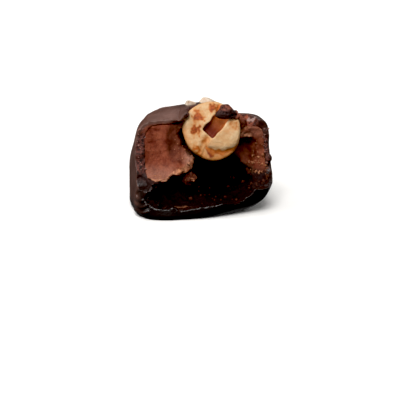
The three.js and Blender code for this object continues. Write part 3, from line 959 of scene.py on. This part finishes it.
def nut_shape(space):
    """The depth in the hazelnut, and the parts of its form that its colours follow."""
    x, z, y = in_nut(space)
    across = x * math.cos(SPLIT_ANGLE) - z * math.sin(SPLIT_ANGLE)
    along = x * math.sin(SPLIT_ANGLE) + z * math.cos(SPLIT_ANGLE)
    lump = space.lumps(2.2, seed=51)
    fine = space.lumps(0.7, seed=52)
    squarer = mix(2.0, 3.6, smooth(-y, 0, 1))
    ball = (np.hypot(x, z) ** squarer + np.abs(y) ** squarer) ** (1 / squarer) - NUT_RADIUS
    ball = ball - 0.06 * lump - 0.02 * fine
    for direction, fuller in UNEVEN_SIDES:
        towards = x * math.cos(math.radians(direction)) + z * math.sin(math.radians(direction))
        ball = ball - fuller * smooth(towards / np.maximum(np.hypot(x, z), 0.1), 0.7, 1) * smooth(y, 2.5, 0)
    past_split = across - SPLIT_AT - SPLIT_BEND * (along - 1.8) ** 2
    right = smooth(past_split + 0.08 * lump, -0.2, 0.2)
    lobe = np.hypot(x - LOBE_X, z - LOBE_Z) + 0.1 * lump
    below = smooth(-z, 1.4, 2.6) * smooth(past_split, -0.3, 0.3)
    ledge = below * (HALF_STEP * smooth(lobe, LOBE_RADIUS - 0.9, LOBE_RADIUS + 0.9))
    groove = 0.08 * below * bell(lobe - LOBE_RADIUS - 0.4, 0.3)
    valley = VALLEY * bell(past_split + 0.7, 0.7) * smooth(-along, 0.6, 2.0)
    left_face = -NUT_FRONT + 0.028 * (x**2 + z**2)
    right_face = -NUT_FRONT - HALF_STEP + 0.03 * ((x - 2.6) ** 2 + (z + 0.6) ** 2)
    face = mix(left_face, right_face, right) + ledge + groove + valley + 0.07 * lump + 0.02 * fine
    body = rounded_overlap(ball, (face - y) * 0.96, 0.45)
    widening = 0.7 * np.maximum(along - 3.4, 0) * (across < TROUGH_AT)
    side = np.abs(across - TROUGH_AT) - TROUGH_HALF - widening + 0.15 * lump + 0.08 * fine
    trough = rounded_overlap(side, TROUGH_START - along, 0.3)
    floor = -NUT_FRONT + mix(*TROUGH_DEPTHS, (along - TROUGH_START) / (TROUGH_END - TROUGH_START))
    trough = rounded_overlap(trough, y - floor, 0.7)
    form = {"x": x, "z": z, "out": np.hypot(x, z), "along": along, "uneven": fine}
    form |= {"trough": trough, "below": below, "lobe": lobe, "valley": valley}
    return -soft_union(-body, trough, 0.4), form


def nut_values(at):
    """How toasted, seared and hollow the nut is at each point of its skin, with painted shade towards its
    lower left and in its hollow, and painted light up the hollow.
    """
    spot = np.zeros(len(at["x"]))
    for spot_x, spot_z, size, strength in TOAST_SPOTS:
        away = np.hypot(at["x"] - spot_x, at["z"] - spot_z) + 0.2 * at["uneven"] + 0.3 * at["specks"]
        spot = np.maximum(spot, strength * smooth(away, size * 2.3, size * -0.4))
    # Towards the lower left the rim is wider and darker and the face a little darker: painted shade where the
    # face turns away from the light; the thin rim all round is toasted
    low_left = smooth(-at["z"] - 0.5 * at["x"], 0, 4)
    rim = smooth(at["out"] + 0.15 * at["uneven"], mix(5.9, 4.6, low_left), 6.7)
    toast_and_shade = spot + mix(0.12, 0.4, low_left) * rim + 0.1 * low_left + 0.3 * at["valley"] / VALLEY
    toast_and_shade = np.clip(toast_and_shade, 0, 1)
    tear_x, tear_z, tear_size = SEAM_SPOT
    off_tear = np.hypot(at["x"] - tear_x, at["z"] - tear_z) + 0.2 * at["uneven"]
    # The hollow and the spot where the halves meet, in the darker brown
    hollow = np.maximum(smooth(at["trough"], 0.12, 0.0), smooth(off_tear, tear_size * 1.4, tear_size * 0.6))
    off_lobe = at["lobe"] + 0.2 * at["uneven"]
    band = at["below"] * smooth(off_lobe, LOBE_RADIUS - 0.15, LOBE_RADIUS + 0.2)
    band = band * mix(1.0, 0.12, smooth(off_lobe, LOBE_RADIUS + 0.9, LOBE_RADIUS + 1.5))
    values = {"toast_and_shade": np.clip(1.4 * toast_and_shade, 0, 1), "scorch": smooth(toast_and_shade, 0.35, 1.0), "skin": band}
    # Up the hollow its colour lightens: painted light
    return values | {"hollow": hollow, "lit_upward": smooth(at["along"], 0.0, 4.5)}


def make_nut(material):
    """The hazelnut: a ball bitten flat in front, its right half proud of the left, a hollow between them."""
    reach = NUT_RADIUS + NUT_MARGIN
    space = Space(NUT - reach, NUT + reach, NUT_STEP, NUT[1] + NUT_BACK, NUT_BACK_STEP)
    field, form = nut_shape(space)
    points, faces = skin(space, field)
    form["specks"] = space.lumps(0.35, seed=53)
    at = {name: space.sample(np.broadcast_to(part, field.shape), points) for name, part in form.items()}
    piece = make_piece("kernel", points, faces, material, nut_values(at))
    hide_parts("hazelnut")
    return piece


# A flake's corners along it, and the shares of their distance out that knocking may leave
FLAKE_CORNERS = (-0.5, -0.17, 0.17, 0.5)
FLAKE_KNOCK = (0.8, 1.0)
FLAKE_BEVEL = 0.07
# Faces of a flake that meet at less than this are one, since a bevel between them would grow spikes
FLAT_ENOUGH = math.radians(12)


def turned(points, angle, first, second):
    """Points turned from one axis towards another."""
    result = points.copy()
    result[:, first] = points[:, first] * math.cos(angle) - points[:, second] * math.sin(angle)
    result[:, second] = points[:, first] * math.sin(angle) + points[:, second] * math.cos(angle)
    return result


def corners_and_faces(shape):
    """The points and faces of a shape that is then let go."""
    shape.verts.index_update()
    points = np.array([corner.co for corner in shape.verts])
    faces = np.array([[corner.index for corner in face.verts] for face in shape.faces])
    shape.free()
    return points, faces


def make_salt(material):
    """Two flakes of coarse salt on the crown: skewed slabs with knocked corners."""
    draw = np.random.default_rng(9)
    shards = bmesh.new()
    slab = np.array([(i, j, k) for i in FLAKE_CORNERS for j in (-0.5, 0.5) for k in (-0.5, 0.5)])
    for place, size, turn, tip in FLAKES:
        grain = slab * draw.uniform(*FLAKE_KNOCK, slab.shape) * size
        grain[:, 0] += FLAKE_SKEW[0] * grain[:, 1] + FLAKE_SKEW[1] * grain[:, 2]
        grain[:, 2] *= 1 - FLAKE_THINNING * np.abs(grain[:, 0] / size[0])
        grain = turned(turned(grain, -tip, 0, 2), turn, 0, 1)
        corners = [shards.verts.new(corner) for corner in grain + np.array(place)]
        hull = bmesh.ops.convex_hull(shards, input=corners)
        bmesh.ops.delete(shards, geom=hull["geom_interior"], context="VERTS")
    bmesh.ops.dissolve_limit(shards, angle_limit=FLAT_ENOUGH, verts=shards.verts[:], edges=shards.edges[:])
    rounding = {"offset": FLAKE_BEVEL, "segments": 2, "affect": "EDGES", "clamp_overlap": True}
    bmesh.ops.bevel(shards, geom=shards.edges[:], **rounding)
    bmesh.ops.triangulate(shards, faces=shards.faces[:])
    return make_piece("salt", *corners_and_faces(shards), material, even=False)


# Loose crumbs: lowest and highest corner of where they lie, how many, smallest and largest half width
LIT_CRUMBS = (
    ((-7.5, -10.0, 8.0), (-1.5, -4.0, 11.0), 30, (0.1, 0.26)),
    ((-7.0, -9.0, 12.0), (-3.5, -3.0, 20.0), 14, (0.1, 0.22)),
    ((11.0, -9.0, 8.0), (15.0, -1.0, 12.5), 45, (0.1, 0.4)),
    ((11.0, -9.0, 12.0), (15.0, -1.0, 18.5), 20, (0.08, 0.2)),
    ((-14.0, -11.0, 7.5), (-7.0, -5.0, 9.5), 20, (0.08, 0.2)),
)
DEEP_CRUMBS = (
    ((-4.0, -11.0, 2.5), (9.0, 3.0, 9.0), 25, (0.15, 0.5)),
    ((9.0, -11.0, 5.0), (15.0, -1.0, 9.0), 30, (0.15, 0.6)),
)
RIM_CRUMBS = (
    ((13.5, -9.0, 9.0), (15.3, 2.0, 18.5), 40, (0.08, 0.25)),
    ((-15.6, -12.0, 10.0), (-12.8, -2.0, 20.0), 24, (0.08, 0.24)),
)
# How far a crumb's middle stands out of what it lies on, as a share of its size
CRUMB_LIFT = 0.35


def make_crumbs(name, host, boxes, seed, material, values):
    """Crumbs lying on a piece, sunk a little into it."""
    draw = np.random.default_rng(seed)
    place, facing = np.empty((2, len(host.data.vertices), 3))
    host.data.vertices.foreach_get("co", place.ravel())
    host.data.vertices.foreach_get("normal", facing.ravel())
    place = place / MM
    seen = facing[:, 2] * 0.6 - facing[:, 1] > 0.2
    shape = bmesh.new()
    bmesh.ops.create_icosphere(shape, subdivisions=1, radius=1)
    ball, sides = corners_and_faces(shape)
    points, faces = [], []
    for low, high, number, (least, most) in boxes:
        inside = ((place > low) & (place < high)).all(1) & seen
        for index in draw.choice(np.flatnonzero(inside), number):
            size = mix(least, most, draw.random() ** 2) * draw.uniform(0.7, 1.3, 3)
            crumb = ball * draw.uniform(0.65, 1.25, (len(ball), 1))
            turn = np.linalg.qr(draw.normal(size=(3, 3)))[0]
            turn = turn * np.sign(np.linalg.det(turn))
            crumb = (crumb * size) @ turn + place[index] + facing[index] * size.mean() * CRUMB_LIFT
            faces.append(sides + len(points) * len(ball))
            points.append(crumb)
    total = len(points) * len(ball)
    filled = {key: np.full(total, value) for key, value in values.items()}
    return make_piece(name, np.concatenate(points), np.concatenate(faces), material, filled, even=False)


# The values of loose crumbs: praline in the light, a little paler as painted light, praline deep in, dark
# with painted shade, and coating, its pale flecks partly painted glints
LIT = {"torn": 1.0, "painted_shade": 0.1, "pale": 0.1}
DEEP = {"torn": 0.2, "painted_shade": 0.7, "pale": 0.0}
FLECKS = {"broken": 1.0, "airy": 1.0, "sheen_facet": 0.5, "bloom_and_sheen": 0.0, "painted_coating_shade": 0.0}

chocolate = dipped_dark_chocolate()
paste = milled_praline()
coating = make_coating(chocolate)
praline = make_praline(paste)
pieces = [
    coating,
    praline,
    make_nut(roasted_hazelnut()),
    make_salt(salt_crystal()),
    make_crumbs("praline_crumbs", praline, LIT_CRUMBS, 61, paste, LIT),
    make_crumbs("shaded_crumbs", praline, DEEP_CRUMBS, 62, paste, DEEP),
    make_crumbs("coating_crumbs", coating, RIM_CRUMBS, 63, chocolate, FLECKS),
]
for piece in pieces:
    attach(piece, "root")

# The studio: a pale floor, a large soft light from above and in front, and a little light all round
scene = bpy.context.scene
scene.view_settings.view_transform = "Standard"
scene.view_settings.use_curve_mapping = True
scene.view_settings.curve_mapping.black_level = (0.011, 0.011, 0.011)
scene.view_settings.curve_mapping.update()

# Soft lamps: strength, then in degrees how wide, how high above the floor, how far to the right of the bite
LAMPS = {
    "key_light": (3.3, 32, 47, -16),
    "front_light": (0.4, 60, 14, -12),
    "left_light": (1.5, 40, 30, -78),
    "corner_light": (0.5, 14, 4, -62),
    "right_light": (0.7, 40, 30, 100),
    "back_light": (0.8, 50, 65, -170),
}
for name, (strength, width, height, turn) in LAMPS.items():
    lamp = bpy.data.objects.new(name, bpy.data.lights.new(name, "SUN"))
    lamp.data.energy = strength
    lamp.data.angle = math.radians(width)
    up = math.radians(height)
    side = math.radians(turn)
    towards = Vector((math.sin(side) * math.cos(up), -math.cos(side) * math.cos(up), math.sin(up)))
    lamp.rotation_euler = towards.to_track_quat("Z", "Y").to_euler()
    scene.collection.objects.link(lamp)

# The air round it: white where it is seen, and only a little light from it
SEEN_AIR = 1.05
AIR_LIGHT = 0.08
world = bpy.data.worlds.new("studio")
scene.world = world
world.use_nodes = True
world.node_tree.nodes.clear()
seen = add(world, "LightPath").outputs["Is Camera Ray"]
strength = add(world, "MapRange", None, {0: seen, 3: AIR_LIGHT, 4: SEEN_AIR}).outputs[0]
glow = add(world, "Background", None, {"Color": "#ffffff", "Strength": strength})
add(world, "OutputWorld", None, {"Surface": glow.outputs[0]})

FLOOR_HALF = 400
ground = new_material("pale_board")
board = add(ground, "BsdfPrincipled", None, {"Base Color": "#f4f2ef", "Roughness": 0.7})
add(ground, "OutputMaterial", None, {"Surface": board.outputs[0]})
corners = np.array(((-1, -1, 0), (1, -1, 0), (1, 1, 0), (-1, 1, 0)), float) * FLOOR_HALF
floor = make_piece("floor", corners, np.array(((0, 1, 2, 3),)), ground)
floor.visible_diffuse = False
floor.visible_glossy = False

# The camera, a little above the sweet and slightly to the left of the bite
AWAY = 450.0
MM_ACROSS = 93.1
AIM_RIGHT = -0.23
AIM_UP = 1.36
camera = bpy.data.objects.new("camera", bpy.data.cameras.new("camera"))
camera.data.lens = camera.data.sensor_width * AWAY / MM_ACROSS
camera.location = (RIGHTWARDS * AIM_RIGHT + UPWARDS * AIM_UP + FORWARDS * AWAY) * MM
camera.rotation_euler = Vector(FORWARDS).to_track_quat("Z", "Y").to_euler()
scene.collection.objects.link(camera)
scene.camera = camera
